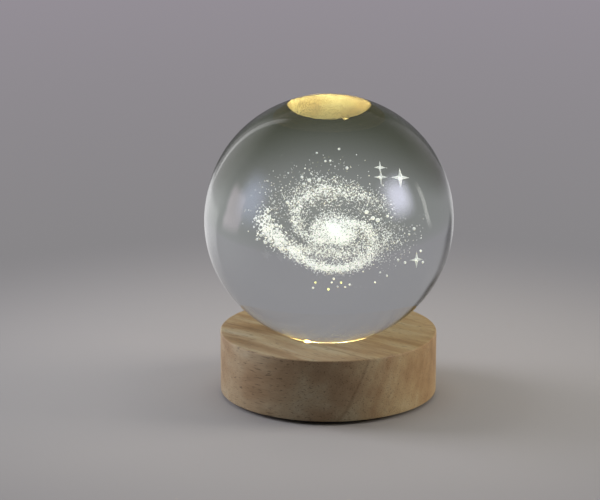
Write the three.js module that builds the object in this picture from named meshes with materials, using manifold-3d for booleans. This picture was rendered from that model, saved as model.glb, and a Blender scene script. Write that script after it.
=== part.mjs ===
// Crystal ball night lamp: a solid glass ball rests in the round seat of a turned wooden base. Three
// light-emitting diodes on a round board under the ball shine up into it, fed from a small power socket
// at the back of the base.
// Millimetres, +Z up. The origin is the centre of the grip pad's underside, and -Y is the front.
import * as THREE from "three";
import { mergeVertices } from "three/addons/utils/BufferGeometryUtils.js";
import Module from "manifold-3d";

const wasm = await Module();
wasm.setup();

// Clearances
const touch = 0.05; // between two flat faces that lie on each other
const slack = 0.3; // round a piece that drops into a pocket
const bite = 0.1; // round a screw in its pilot hole
const overrun = 1; // how far a cutting shape runs past the faces that it cuts

// Glass ball
const ballRadius = 40;
const ballSides = 56;
const ballRings = 28;

// Engraved galaxy: a cloud of fine cracks inside the glass, a flattened core with arms that wind out of it
const galaxyReach = 17.1; // radius that the tables of the arms follow
const galaxyShift = 1.25; // from the ball's middle to the core's, to the right
const galaxyDrop = 2.45; // from the ball's middle down to the core's
const galaxyTilt = 0.462; // radians, of the disc's front edge down
const coreRadius = 4.2;
const coreThickness = 3.4;
const coreSides = 20;
const coreRings = 10;
const armThickness = 1.2;
const armSides = 8;
const armSteps = 39;
const armEndSteps = 3; // round each end of an arm
const ventRadius = 0.5; // of the bore from the galaxy down to the ball's underside
const ventSides = 12;
// Places along each arm: turn from +X towards +Y, distance from the core's middle and half width
const nearArmShares = [
  [0.2, 0.1, 0.06],
  [0.122, 0.25, 0.09],
  [0.022, 0.45, 0.13],
  [-0.036, 0.6, 0.165],
  [-0.083, 0.72, 0.175],
  [-0.125, 0.82, 0.155],
  [-0.172, 0.905, 0.12],
  [-0.219, 0.955, 0.1],
  [-0.264, 0.93, 0.095],
  [-0.311, 0.875, 0.095],
  [-0.367, 0.825, 0.1],
  [-0.419, 0.82, 0.12],
  [-0.467, 0.845, 0.135],
  [-0.506, 0.885, 0.135],
  [-0.54, 0.91, 0.11],
];
const farArmShares = [
  [-0.28, 0.08, 0.06],
  [-0.33, 0.22, 0.075],
  [-0.389, 0.39, 0.09],
  [-0.444, 0.476, 0.1],
  [-0.5, 0.53, 0.105],
  [-0.55, 0.58, 0.11],
  [-0.597, 0.635, 0.12],
  [-0.639, 0.69, 0.13],
  [-0.689, 0.73, 0.135],
  [-0.744, 0.745, 0.135],
  [-0.806, 0.745, 0.135],
  [-0.861, 0.765, 0.13],
  [-0.9, 0.8, 0.11],
  [-0.933, 0.84, 0.08],
];
const innerArmShares = [
  [0.06, 0.15, 0.06],
  [-0.03, 0.36, 0.08],
  [-0.1, 0.5, 0.11],
  [-0.17, 0.575, 0.13],
  [-0.24, 0.6, 0.13],
  [-0.31, 0.56, 0.11],
  [-0.37, 0.47, 0.08],
  [-0.42, 0.42, 0.05],
];

// Turned wooden base: its radius follows from what stands in it, from the middle to the back
const baseHeight = 20;
const baseEdgeRound = 0.5;
const baseSides = 64;
const edgeSteps = 4;

// Seat and light well: the ball sits on a cone that is cut round the mouth of the well
const wellRadius = 15;
const wellDepth = 10;
const seatWidth = 1.4; // of the cone, seen from above
const seatGap = 0.3; // between the glass and the cone

// Hollow in the underside, its cover and the grip pad
const hollowMargin = 4; // from the light board's rim out to the hollow's wall
const rimWidth = 3.7; // of the wood that shows round the cover from below
const coverThickness = 1.6;
const padInset = 2.5; // from the wood's rim in to the pad's
const padThickness = 1;
const coverSides = 48;

// Light board
const boardLap = 5; // how far the board runs past the well, under the wood
const boardThickness = 1.6;
const boardSides = 48;
const boardScrewInset = 2.5; // from the board's rim
const ledCount = 3;
const ledCircle = 5.6; // radius that the diodes stand on
const ledSide = 5;
const ledHeight = 1.6;
const ledWindowRadius = 2.1;
const ledWindowDepth = 0.5;
const ledBevel = 0.6;
const resistorCircle = 10.4;
const resistorLength = 3.2;
const resistorWidth = 1.6;
const resistorHeight = 0.6;
const endCapLength = 0.5; // of a resistor's metal end
const endCapStep = 0.06; // how far the metal end stands out of the ceramic

// Power socket and its board
const socketWidth = 8.94;
const socketHeight = 3.26;
const socketDepth = 7.35;
const socketWall = 0.3;
const socketLevel = 6.4; // of the socket's middle above the wood's underside
const socketInset = 4.1; // from the wood's rim, at the back, in to the socket's mouth
const endSteps = 8; // round each end of the shell
const tongueWidth = 6.69;
const tongueThickness = 0.7;
const tongueReach = 4.45;
const socketOverhang = 1.6; // of the socket past its board
const boardGap = 0.6; // between the light board and the socket's board
const socketBoardDepth = 8.7;
const socketBoardThickness = 1.2;
const socketScrewGap = 0.48; // between the heads of the board's screws and the socket
const socketScrewEdge = 1.9; // from a screw to the board's nearest side
const socketScrewInset = 2.2; // from the outer edge of the board
const slotWidth = 13; // of the hole that the plug's body goes into
const slotHeight = 7.4;
const chipLength = 1.6;
const chipWidth = 0.8;
const chipHeight = 0.45;

// Screws: small pan heads for the boards, countersunk heads for the cover
const panScrew = { head: 1.75, headHeight: 1.3, shank: 0.95, length: 5.6, countersunk: false };
const coverScrew = { head: 2.6, headHeight: 1.3, shank: 1.3, length: 9, countersunk: true };
const screwSides = 16;
const screwPoint = 1.6; // length of the tapered point
const recessWidth = 0.6; // of one arm of the cross recess
const recessShare = 0.6; // of the head's radius that the recess reaches
const headFaceShare = 0.72; // of the head's radius that its flat face reaches on a pan head
const recessDepthShare = 0.5; // of the head's height
const coverScrewCount = 3;
const boardScrewCount = 3;

// Wires between the two boards
const wireRadius = 0.6;
const wireSides = 8;
const wireSteps = 26;
const wireSpacing = 5;
const wireInset = 8.4; // from the light board's rim in to the wires, at the back
const solderRadius = 1.1;
const solderHeight = 0.7;

// Heights and places that follow from the sizes above
const boardRadius = wellRadius + boardLap;
const boardScrewCircle = boardRadius - boardScrewInset;
const socketBoardInner = boardRadius + boardGap;
const socketBoardOuter = socketBoardInner + socketBoardDepth;
const socketMouth = socketBoardOuter + socketOverhang;
const socketScrewSpacing = socketWidth + 2 * (socketScrewGap + panScrew.head);
const socketBoardWidth = socketScrewSpacing + 2 * socketScrewEdge;
const baseRadius = socketMouth + socketInset;
const hollowRadius = boardRadius + hollowMargin;
const rebateRadius = baseRadius - rimWidth;
const coverRadius = rebateRadius - slack;
const padRadius = baseRadius - padInset;
const baseBottom = padThickness + touch;
const baseTop = baseBottom + baseHeight;
const hollowTop = baseTop - wellDepth;
const rebateTop = baseBottom + coverThickness + touch;
const boardTop = hollowTop - touch;
const boardBottom = boardTop - boardThickness;
const ledBottom = boardTop + touch;
const seatOuter = wellRadius + seatWidth;
const seatMiddle = wellRadius + seatWidth / 2;
const seatAngle = Math.asin(seatMiddle / (ballRadius + seatGap));
const seatDrop = seatWidth * Math.tan(seatAngle);
const ballCentre = baseTop - seatDrop / 2 + (ballRadius + seatGap) * Math.cos(seatAngle);
const socketMiddle = baseBottom + socketLevel;
const socketBoardBottom = socketMiddle + socketHeight / 2 + touch;
const socketBoardTop = socketBoardBottom + socketBoardThickness;
const pocketTop = socketBoardTop + touch;
const pocketOuter = socketBoardOuter + slack;
const coverScrewCircle = (hollowRadius + coverRadius) / 2;
const insulatorReach = tongueReach + socketWall; // from the socket's mouth in, with the tongue short of it
const wireStart = boardRadius - wireInset;
const wireEnd = socketBoardInner + solderRadius + slack;
const wireLevel = (Math.min(boardBottom, socketBoardBottom) + baseBottom + coverThickness) / 2;
const backward = Math.PI / 2; // the direction of the socket, from +X towards +Y
const coverScrewPlaces = ring(coverScrewCircle, coverScrewCount, -backward);
const boardScrewPlaces = ring(boardScrewCircle, boardScrewCount, -backward);
const socketScrewPlaces = [-1, 1].map((side) => [
  (side * socketScrewSpacing) / 2,
  socketBoardOuter - socketScrewInset,
]);

// Materials
function paint(color, roughness, metalness = 0) {
  return new THREE.MeshStandardMaterial({ color, roughness, metalness });
}
const glass = new THREE.MeshStandardMaterial({
  color: 0xdfe6e4,
  roughness: 0.02,
  metalness: 0,
  transparent: true,
  opacity: 0.35,
});
const cracks = paint(0xf6f8f4, 0.8);
const wood = paint(0xc9ab84, 0.6);
const foam = paint(0x1b1b1c, 0.95);
const fibreboard = paint(0x26221f, 0.8);
const whiteBoard = paint(0xeeeeea, 0.45);
const greenBoard = paint(0x1f5a38, 0.45);
const ledBody = paint(0xf4f2ec, 0.4);
const phosphor = paint(0xffd766, 0.5);
phosphor.emissive.set(0xffc860);
const ceramic = paint(0x1a1a1c, 0.5);
const steel = paint(0xb9bcc0, 0.3, 1);
const solder = paint(0xc4c6c8, 0.35, 1);
const blackPlastic = paint(0x161617, 0.5);
const redWire = paint(0xb3241f, 0.5);
const blackWire = paint(0x161616, 0.5);

const lamp = new THREE.Group();

/** Adds one named solid to the lamp. */
function add(name, geometry, material) {
  const mesh = new THREE.Mesh(geometry, material);
  mesh.name = name;
  lamp.add(mesh);
  return mesh;
}

/** A closed geometry as a solid for joining and cutting. */
function solidOf(geometry) {
  const bare = geometry.index ? geometry.toNonIndexed() : geometry.clone();
  bare.deleteAttribute("normal");
  bare.deleteAttribute("uv");
  const merged = mergeVertices(bare);
  return new wasm.Manifold(
    new wasm.Mesh({
      numProp: 3,
      vertProperties: merged.attributes.position.array,
      triVerts: new Uint32Array(merged.index.array),
    }),
  );
}

/** A solid back as a geometry. */
function geometryOf(solid) {
  const mesh = solid.getMesh();
  const geometry = new THREE.BufferGeometry();
  geometry.setAttribute("position", new THREE.BufferAttribute(new Float32Array(mesh.vertProperties), 3));
  geometry.setIndex(new THREE.BufferAttribute(new Uint32Array(mesh.triVerts), 1));
  geometry.computeVertexNormals();
  return geometry;
}

/** The first geometry with all the others cut out of it. */
function cut(geometry, cutters) {
  return geometryOf(cutters.reduce((left, cutter) => left.subtract(solidOf(cutter)), solidOf(geometry)));
}

/** A body turned about Z from a profile of [radius, height] points. */
function turned(profile, sides) {
  const points = profile.map(([radius, height]) => new THREE.Vector2(radius, height));
  return new THREE.LatheGeometry(points, sides).rotateX(Math.PI / 2);
}

/** A round bar along Z between two heights. */
function bar(radius, low, high, sides) {
  return turned([[0, low], [radius, low], [radius, high], [0, high]], sides);
}

/** A box given by its sizes and the middle of its underside. */
function block(width, depth, height, x, y, low) {
  return new THREE.BoxGeometry(width, depth, height).translate(x, y, low + height / 2);
}

/** [radius, height] points on a quarter round from one angle to another. */
function roundPoints(middleRadius, middleHeight, radius, from, to) {
  return Array.from({ length: edgeSteps + 1 }, (_, step) => {
    const angle = from + ((to - from) * step) / edgeSteps;
    return [middleRadius + radius * Math.cos(angle), middleHeight + radius * Math.sin(angle)];
  });
}

/** Places spaced evenly on a circle about the Z axis, as [x, y, angle], from the given angle on. */
function ring(radius, count, first) {
  return Array.from({ length: count }, (_, index) => {
    const angle = first + (2 * Math.PI * index) / count;
    return [radius * Math.cos(angle), radius * Math.sin(angle), angle];
  });
}

/** An arm of the galaxy, grown by so much all round: a bar with round ends, bent along the arm's line. */
function galaxyArm(shares, grown) {
  // The third number along the line is the arm's half width there
  const line = new THREE.CatmullRomCurve3(
    shares.map(([turn, radius, halfWidth]) => {
      const angle = 2 * Math.PI * turn;
      return new THREE.Vector3(radius * Math.cos(angle), radius * Math.sin(angle), halfWidth)
        .multiplyScalar(galaxyReach);
    }),
  );
  const lastStep = armSteps + armEndSteps;
  const profile = Array.from({ length: lastStep + armEndSteps + 1 }, (_, index) => {
    const place = Math.min(Math.max(index, armEndSteps), lastStep);
    const past = ((index - place) / armEndSteps) * (Math.PI / 2);
    return new THREE.Vector2(Math.cos(past), (place - armEndSteps) / armSteps + Math.sin(past));
  });
  profile[0].x = 0;
  profile[profile.length - 1].x = 0;
  const arm = new THREE.LatheGeometry(profile, armSides);
  const { position } = arm.attributes;
  for (let index = 0; index < position.count; index += 1) {
    const share = THREE.MathUtils.clamp(position.getY(index), 0, 1);
    const middle = line.getPoint(share);
    const ahead = line.getTangent(share).setZ(0).normalize();
    const halfWidth = middle.z + grown;
    const forward = (position.getY(index) - share) * halfWidth;
    const sideways = position.getX(index) * halfWidth;
    position.setXYZ(
      index,
      middle.x + ahead.x * forward + ahead.y * sideways,
      middle.y + ahead.y * forward - ahead.x * sideways,
      position.getZ(index) * (armThickness / 2 + grown),
    );
  }
  return arm;
}

/** The galaxy about the ball's middle, grown by so much all round. */
function galaxy(grown) {
  const core = new THREE.SphereGeometry(1, coreSides, coreRings)
    .rotateX(Math.PI / 2)
    .scale(coreRadius + grown, coreRadius + grown, coreThickness / 2 + grown);
  return [nearArmShares, farArmShares, innerArmShares]
    .reduce((joined, shares) => joined.add(solidOf(galaxyArm(shares, grown))), solidOf(core));
}

/** A galaxy's solid, turned to its tilt and set in its place about the ball's middle. */
function tilted(solid) {
  return geometryOf(solid).rotateX(galaxyTilt).translate(galaxyShift, 0, -galaxyDrop);
}

/** The ball, with a hollow for the galaxy and a fine bore that opens it downwards. */
function crystalBall() {
  const ball = new THREE.SphereGeometry(ballRadius, ballSides, ballRings).rotateX(Math.PI / 2);
  const bore = bar(ventRadius, -ballRadius - overrun, -galaxyDrop, ventSides).translate(galaxyShift, 0, 0);
  return cut(ball, [tilted(galaxy(slack)), bore]);
}

/** The wooden base, with its well, seat, hollow, socket pocket, plug slot and pilot holes. */
function woodBase() {
  const round = baseEdgeRound;
  const profile = [
    [rebateRadius, baseBottom],
    ...roundPoints(baseRadius - round, baseBottom + round, round, -Math.PI / 2, 0),
    ...roundPoints(baseRadius - round, baseTop - round, round, 0, Math.PI / 2),
    [seatOuter, baseTop],
    [wellRadius, baseTop - seatDrop],
    [wellRadius, hollowTop],
    [hollowRadius, hollowTop],
    [hollowRadius, rebateTop],
    [rebateRadius, rebateTop],
    [rebateRadius, baseBottom],
  ];
  const pocketInner = socketBoardInner - slack;
  const pocket = block(
    socketBoardWidth + 2 * slack,
    pocketOuter - pocketInner,
    pocketTop - baseBottom - coverThickness + overrun,
    0,
    (pocketOuter + pocketInner) / 2,
    baseBottom + coverThickness - overrun,
  );
  const slot = block(
    slotWidth,
    baseRadius + overrun - socketBoardOuter,
    slotHeight,
    0,
    (baseRadius + overrun + socketBoardOuter) / 2,
    socketMiddle - slotHeight / 2,
  );
  return cut(turned(profile, baseSides), [
    pocket,
    slot,
    ...boardScrewPlaces.map(([x, y]) => pilot(panScrew, boardBottom, x, y)),
    ...socketScrewPlaces.map(([x, y]) => pilot(panScrew, socketBoardBottom, x, y)),
    ...coverScrewPlaces.map(([x, y]) => pilot(coverScrew, baseBottom + coverScrew.headHeight, x, y)),
  ]);
}

/** The hole that a screw's shank goes into, from just under the face that its head bears on. */
function pilot(screw, bearing, x, y) {
  const radius = screw.shank + bite;
  return bar(radius, bearing - overrun, bearing + screw.length + bite, screwSides).translate(x, y, 0);
}

/** A screw driven upwards, its head bearing on the given height. */
function screwAt(screw, bearing, x, y) {
  const { head, headHeight, shank, length, countersunk } = screw;
  const low = -headHeight;
  const sunkHead = [[0, low], [head, low], [shank, 0]];
  const panHead = [[0, low], [head * headFaceShare, low], [head, low / 2], [head, -touch], [shank, -touch]];
  const profile = [...(countersunk ? sunkHead : panHead), [shank, length - screwPoint], [0, length]];
  const reach = 2 * recessShare * head;
  const depth = recessDepthShare * headHeight;
  const arm = (width, breadth) => block(width, breadth, depth + overrun, 0, 0, low - overrun);
  const recess = [arm(reach, recessWidth), arm(recessWidth, reach)];
  return cut(turned(profile, screwSides), recess).translate(x, y, bearing);
}

/** The light board, with clear holes for its screws. */
function lightBoard() {
  const hole = bar(panScrew.shank + bite, boardBottom - overrun, boardTop + overrun, screwSides);
  const holes = boardScrewPlaces.map(([x, y]) => hole.clone().translate(x, y, 0));
  return cut(bar(boardRadius, boardBottom, boardTop, boardSides), holes);
}

/** The cover under the hollow, countersunk for its screws. */
function bottomCover() {
  const { head, headHeight, shank } = coverScrew;
  const sinks = coverScrewPlaces.map(([x, y]) => {
    const low = baseBottom;
    const profile = [
      [0, low - overrun],
      [head + bite, low - overrun],
      [head + bite, low],
      [shank + bite, low + headHeight],
      [shank + bite, low + coverThickness + overrun],
      [0, low + coverThickness + overrun],
    ];
    return turned(profile, screwSides).translate(x, y, 0);
  });
  return cut(bar(coverRadius, baseBottom, baseBottom + coverThickness, coverSides), sinks);
}

/** A diode's white body, square with a corner cut to mark its polarity and a round pocket in its top. */
function ledPackage() {
  const half = ledSide / 2;
  const outline = new THREE.Shape([
    new THREE.Vector2(-half, -half),
    new THREE.Vector2(half, -half),
    new THREE.Vector2(half, half - ledBevel),
    new THREE.Vector2(half - ledBevel, half),
    new THREE.Vector2(-half, half),
  ]);
  const body = new THREE.ExtrudeGeometry(outline, { depth: ledHeight, bevelEnabled: false });
  const pocketRadius = ledWindowRadius + touch;
  return cut(body, [bar(pocketRadius, ledHeight - ledWindowDepth, ledHeight + overrun, 2 * screwSides)]);
}

/** A chip resistor: a ceramic block with a metal end at each side. */
function chipResistor(length, width, height) {
  const ends = [-1, 1].map((side) =>
    solidOf(
      block(
        endCapLength,
        width + 2 * endCapStep,
        height + endCapStep,
        (side * (length - endCapLength)) / 2,
        0,
        0,
      ),
    ),
  );
  const middle = solidOf(block(length, width, height, 0, 0, 0));
  return geometryOf(ends.reduce((joined, end) => joined.add(end), middle));
}

/** A flat shape with half-round ends, lying in X and Y. */
function stadium(width, height) {
  const end = height / 2;
  const straight = width / 2 - end;
  const shape = new THREE.Shape();
  shape.moveTo(-straight, -end);
  shape.lineTo(straight, -end);
  shape.absarc(straight, 0, end, -Math.PI / 2, Math.PI / 2, false);
  shape.lineTo(-straight, end);
  shape.absarc(-straight, 0, end, Math.PI / 2, (3 * Math.PI) / 2, false);
  return shape;
}

/** A stadium-shaped bar along Y, from one place to another, at the socket's height. */
function stadiumBar(width, height, from, to) {
  const options = { depth: to - from, bevelEnabled: false, curveSegments: endSteps };
  return new THREE.ExtrudeGeometry(stadium(width, height), options)
    .rotateX(-Math.PI / 2)
    .translate(0, from, socketMiddle);
}

/** The socket's metal shell, open towards the back of the lamp. */
function socketShell() {
  const inner = stadiumBar(
    socketWidth - 2 * socketWall,
    socketHeight - 2 * socketWall,
    socketMouth - socketDepth + socketWall,
    socketMouth + overrun,
  );
  return cut(stadiumBar(socketWidth, socketHeight, socketMouth - socketDepth, socketMouth), [inner]);
}

/** The insulator at the back of the shell, with the tongue that carries the contacts. */
function socketTongue() {
  const back = socketMouth - socketDepth + socketWall + touch;
  const root = socketMouth - insulatorReach;
  const plug = stadiumBar(
    socketWidth - 2 * socketWall - 2 * touch,
    socketHeight - 2 * socketWall - 2 * touch,
    back,
    root,
  );
  const tongue = block(
    tongueWidth,
    tongueReach + touch,
    tongueThickness,
    0,
    root + (tongueReach - touch) / 2,
    socketMiddle - tongueThickness / 2,
  );
  return geometryOf(solidOf(plug).add(solidOf(tongue)));
}

/** The socket's board, with clear holes for its screws. */
function socketBoard() {
  const plate = block(
    socketBoardWidth,
    socketBoardDepth,
    socketBoardThickness,
    0,
    (socketBoardOuter + socketBoardInner) / 2,
    socketBoardBottom,
  );
  const radius = panScrew.shank + bite;
  const hole = bar(radius, socketBoardBottom - overrun, socketBoardTop + overrun, screwSides);
  return cut(plate, socketScrewPlaces.map(([x, y]) => hole.clone().translate(x, y, 0)));
}

/** A solder joint that hangs under a board. */
function solderJoint(x, y, low) {
  const bottom = low - touch - solderHeight;
  const profile = [
    [0, bottom],
    [wireRadius, bottom],
    [solderRadius, bottom + solderHeight],
    [0, bottom + solderHeight],
  ];
  return turned(profile, screwSides).translate(x, y, 0);
}

/** A wire that leaves the light board's solder joint downwards and comes up to the socket board's. */
function wire(x) {
  const startHeight = boardBottom - solderHeight - 2 * touch;
  const endHeight = socketBoardBottom - solderHeight - 2 * touch;
  const route = new THREE.CatmullRomCurve3([
    new THREE.Vector3(x, wireStart, startHeight),
    new THREE.Vector3(x, wireStart, startHeight - wireRadius),
    new THREE.Vector3(x, (2 * wireStart + wireEnd) / 3, wireLevel),
    new THREE.Vector3(x, (wireStart + 2 * wireEnd) / 3, wireLevel),
    new THREE.Vector3(x, wireEnd, endHeight - wireRadius),
    new THREE.Vector3(x, wireEnd, endHeight),
  ]);
  const section = new THREE.Shape();
  section.absarc(0, 0, wireRadius, 0, 2 * Math.PI, false);
  const options = { steps: wireSteps, curveSegments: wireSides / 2, extrudePath: route };
  return new THREE.ExtrudeGeometry(section, options);
}

// The ball, and the base that carries it
add("crystal_ball", crystalBall(), glass).position.setZ(ballCentre);
add("engraved_galaxy", tilted(galaxy(0)), cracks).position.setZ(ballCentre);
add("wood_base", woodBase(), wood);
add("bottom_cover", bottomCover(), fibreboard);
add("grip_pad", bar(padRadius, 0, padThickness, coverSides), foam);
coverScrewPlaces.forEach(([x, y], index) => {
  add(`cover_screw_${index + 1}`, screwAt(coverScrew, baseBottom + coverScrew.headHeight, x, y), steel);
});

// The light board and what stands on it
add("led_board", lightBoard(), whiteBoard);
boardScrewPlaces.forEach(([x, y], index) => {
  add(`board_screw_${index + 1}`, screwAt(panScrew, boardBottom, x, y), steel);
});
ring(ledCircle, ledCount, -backward).forEach(([x, y], index) => {
  add(`led_${index + 1}`, ledPackage(), ledBody).position.set(x, y, ledBottom);
  const windowBottom = ledBottom + ledHeight - ledWindowDepth + touch;
  const window = bar(ledWindowRadius, windowBottom, ledBottom + ledHeight, 2 * screwSides);
  add(`led_window_${index + 1}`, window.translate(x, y, 0), phosphor);
});
ring(resistorCircle, ledCount, backward).forEach(([x, y, angle], index) => {
  const chip = chipResistor(resistorLength, resistorWidth, resistorHeight);
  const resistor = add(`resistor_${index + 1}`, chip, ceramic);
  resistor.position.set(x, y, ledBottom);
  resistor.rotation.z = angle + backward;
});

// The power socket on its own board
add("socket_board", socketBoard(), greenBoard);
socketScrewPlaces.forEach(([x, y], index) => {
  add(`socket_screw_${index + 1}`, screwAt(panScrew, socketBoardBottom, x, y), steel);
});
add("socket_shell", socketShell(), steel);
add("socket_tongue", socketTongue(), blackPlastic);
[-1, 1].forEach((side, index) => {
  const chip = chipResistor(chipLength, chipWidth, chipHeight);
  chip.rotateY(Math.PI).translate(
    (side * socketScrewSpacing) / 2,
    socketBoardInner + chipLength,
    socketBoardBottom - touch,
  );
  add(`socket_resistor_${index + 1}`, chip, ceramic);
});

// The two wires, with a solder joint at each end
[
  ["positive", -1, redWire],
  ["negative", 1, blackWire],
].forEach(([name, side, material]) => {
  const x = (side * wireSpacing) / 2;
  add(`lead_${name}`, wire(x), material);
  add(`solder_${name}_light`, solderJoint(x, wireStart, boardBottom), solder);
  add(`solder_${name}_socket`, solderJoint(x, wireEnd, socketBoardBottom), solder);
});

export default lamp;
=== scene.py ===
"""Crystal ball night lamp: an engraved glass ball that rests in the lit seat of a turned wooden base."""

import logging
import math
from collections.abc import Iterable, Mapping, Sequence
from dataclasses import dataclass
from enum import Enum
from typing import Any

import bpy
import numpy as np
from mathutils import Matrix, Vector


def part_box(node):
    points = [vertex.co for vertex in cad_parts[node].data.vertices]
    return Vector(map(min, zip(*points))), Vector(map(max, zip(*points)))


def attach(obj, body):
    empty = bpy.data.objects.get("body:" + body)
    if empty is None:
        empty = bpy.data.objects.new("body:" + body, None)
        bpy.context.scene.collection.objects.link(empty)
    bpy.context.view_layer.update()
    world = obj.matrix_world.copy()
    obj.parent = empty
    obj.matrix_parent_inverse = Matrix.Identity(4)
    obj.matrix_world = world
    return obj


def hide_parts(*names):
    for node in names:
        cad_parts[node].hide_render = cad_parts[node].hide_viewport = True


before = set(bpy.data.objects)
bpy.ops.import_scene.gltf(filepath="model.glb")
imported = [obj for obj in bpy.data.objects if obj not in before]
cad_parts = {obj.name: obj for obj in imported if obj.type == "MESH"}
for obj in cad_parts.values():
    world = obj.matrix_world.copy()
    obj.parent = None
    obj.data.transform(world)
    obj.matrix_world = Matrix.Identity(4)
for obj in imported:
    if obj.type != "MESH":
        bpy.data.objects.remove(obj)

LOG = logging.getLogger("lamp")
MM = 0.001
Tree = bpy.types.NodeTree
Socket = bpy.types.NodeSocket
Pair = tuple[float, float]
Triple = tuple[float, float, float]
Rows = tuple[tuple[float, ...], ...]
Mesh = tuple[list[Triple], list[tuple[int, ...]]]


def linear(code: str) -> tuple[float, float, float, float]:
    """Turns an sRGB hex colour to the linear values that shaders take.

    Args:
        code: Six hex digits, with or without a leading hash sign.

    Returns:
        Linear red, green, blue and an alpha of one.
    """
    shares = [int(code.lstrip("#")[i : i + 2], 16) / 255 for i in (0, 2, 4)]
    red, green, blue = (
        share / 12.92 if share <= 0.04045 else ((share + 0.055) / 1.055) ** 2.4 for share in shares
    )
    return red, green, blue, 1.0


def add_node(
    tree: Tree,
    kind: str,
    inputs: Mapping[str | int, Any] | Sequence[Any] = (),
    output: str | int = 0,
    **settings: Any,
) -> Socket | None:
    """Adds one node with its settings and links.

    Args:
        tree: The tree that takes the node.
        kind: Blender's name for the kind of node, without its leading "ShaderNode".
        inputs: A value or an output socket for each named or numbered input, or for the first ones in order.
        output: Name or number of the output that is wanted.
        settings: Values of the node's own settings.

    Returns:
        The wanted output, or None for a node that has no output.
    """
    node = tree.nodes.new("ShaderNode" + kind)
    for name, value in settings.items():
        setattr(node, name, value)
    for key, value in inputs.items() if isinstance(inputs, Mapping) else enumerate(inputs):
        if isinstance(value, Socket):
            tree.links.new(value, node.inputs[key])
        else:
            node.inputs[key].default_value = value
    return node.outputs[output] if node.outputs else None


# Finishes


@dataclass(frozen=True)
class Finish:
    """What every finish shares: its name, and the nodes that are built once and then reused."""

    name: str

    def material(self) -> bpy.types.Material:
        """Makes the finish's material on first use.

        Returns:
            The material.
        """
        found = bpy.data.materials.get(self.name)
        if found is not None:
            return found
        material = bpy.data.materials.new(self.name)
        material.use_nodes = True
        tree = material.node_tree
        tree.nodes.clear()
        add_node(tree, "OutputMaterial", {"Surface": self.surface(tree)})
        material.cycles.emission_sampling = "NONE"
        return material

    def surface(self, tree: Tree) -> Socket:
        """Builds the finish's nodes and returns its shader."""
        raise NotImplementedError

    def millimetres(self, tree: Tree, turn: float = 0.0) -> Socket:
        """Reads the place on the piece.

        Args:
            tree: The material's tree.
            turn: Degrees by which the place is turned about Z.

        Returns:
            The place in millimetres.
        """
        place = add_node(tree, "TexCoord", output="Object")
        inputs = {"Vector": place, "Rotation": (0.0, 0.0, math.radians(turn)), "Scale": (1 / MM,) * 3}
        return add_node(tree, "Mapping", inputs)

    def speckle(self, tree: Tree, place: Socket, size: Sequence[float], detail: float = 2.0) -> Socket:
        """Returns noise from 0 to 1 whose patches have the given size in millimetres along each axis.

        Args:
            tree: The tree that takes the nodes.
            place: The place in millimetres.
            size: Length of a patch along X, Y and Z.
            detail: Octaves of finer noise on top.

        Returns:
            The noise value.
        """
        scale = tuple(1 / length for length in size)
        stretched = add_node(tree, "Mapping", {"Vector": place, "Scale": scale})
        return add_node(tree, "TexNoise", {"Vector": stretched, "Scale": 1.0, "Detail": detail}, "Fac")

    def distance(self, tree: Tree, place: Socket, across: Triple) -> Socket:
        """Returns how far a place is from an axis, where across is 1 for each direction across that axis."""
        flat = add_node(tree, "VectorMath", (place, across), operation="MULTIPLY")
        return add_node(tree, "VectorMath", (flat,), "Value", operation="LENGTH")


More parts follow.
